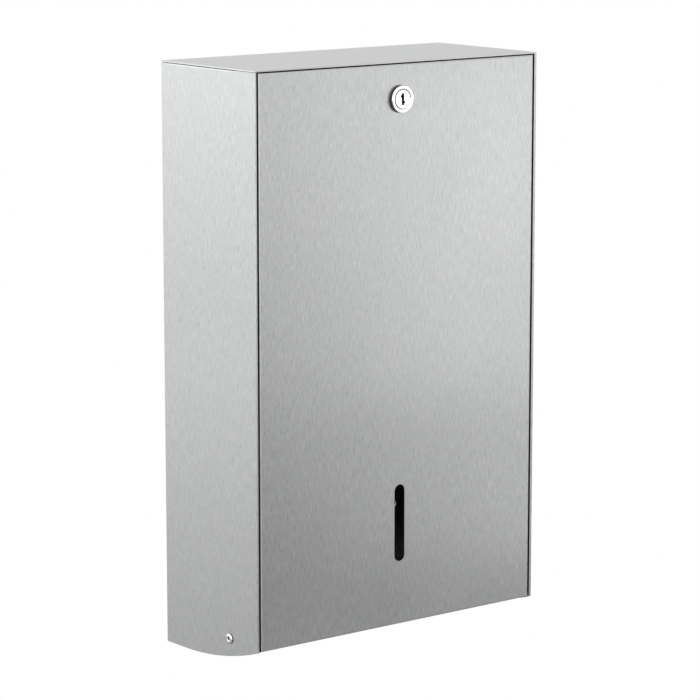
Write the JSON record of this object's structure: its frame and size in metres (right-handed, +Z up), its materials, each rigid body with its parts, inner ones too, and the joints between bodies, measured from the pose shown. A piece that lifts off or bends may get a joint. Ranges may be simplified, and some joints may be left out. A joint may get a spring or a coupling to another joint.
{
  "type": "folded towel dispenser",
  "caption": "Wall-hung folded towel dispenser in brushed stainless sheet, with a locking door that tips forward, a level slot and a curved bottom with a towel outlet.",
  "frame": {"origin": "middle of the four wall screw holes, on the back face of the cabinet", "axes": "+Z up, +Y into the wall, so the door faces -Y; +X across the width"},
  "size_m": [0.2776, 0.123, 0.455],
  "materials": {
    "brushed_stainless": "brushed, vertical grain",
    "polished_lock": "polished nickel-chrome plate",
    "zinc_plated_steel": "bright zinc plate",
    "rivet_stainless": "bright drawn",
    "wafer_brass": "satin",
    "nylon_bush": "moulded",
    "black_rubber": "moulded"
  },
  "bodies": {
    "cabinet": {"cabinet_shell": "brushed_stainless", "top_panel": "brushed_stainless", "outlet_plate": "brushed_stainless", "strike_rail": "brushed_stainless", "towel_guide_left": "brushed_stainless", "towel_guide_right": "brushed_stainless", "hinge_rivet_left": "rivet_stainless", "hinge_rivet_right": "rivet_stainless", "rivet_mandrel_left": "zinc_plated_steel", "rivet_mandrel_right": "zinc_plated_steel", "hinge_washer_left": "rivet_stainless", "hinge_washer_right": "rivet_stainless", "door_buffer_left": "black_rubber", "door_buffer_right": "black_rubber"},
    "door": {"door_panel": "brushed_stainless", "hinge_bush_left": "nylon_bush", "hinge_bush_right": "nylon_bush", "lock_body": "polished_lock", "lock_nut": "zinc_plated_steel", "lock_tooth_washer": "zinc_plated_steel"},
    "lock_plug": {"lock_plug": "polished_lock", "lock_wafers": "wafer_brass", "lock_cam": "zinc_plated_steel", "cam_washer": "zinc_plated_steel", "cam_screw": "zinc_plated_steel"}
  },
  "joints": [
    {"name": "door_hinge", "type": "hinge", "parent": "cabinet", "child": "door", "pos_m": [0, -0.0845, -0.2075], "axis": [1, 0, 0], "range_deg": [0, 80]},
    {"name": "lock_turn", "type": "hinge", "parent": "door", "child": "lock_plug", "pos_m": [0, -0.12, 0.199], "axis": [0, -1, 0], "range_deg": [0, 180]}
  ]
}
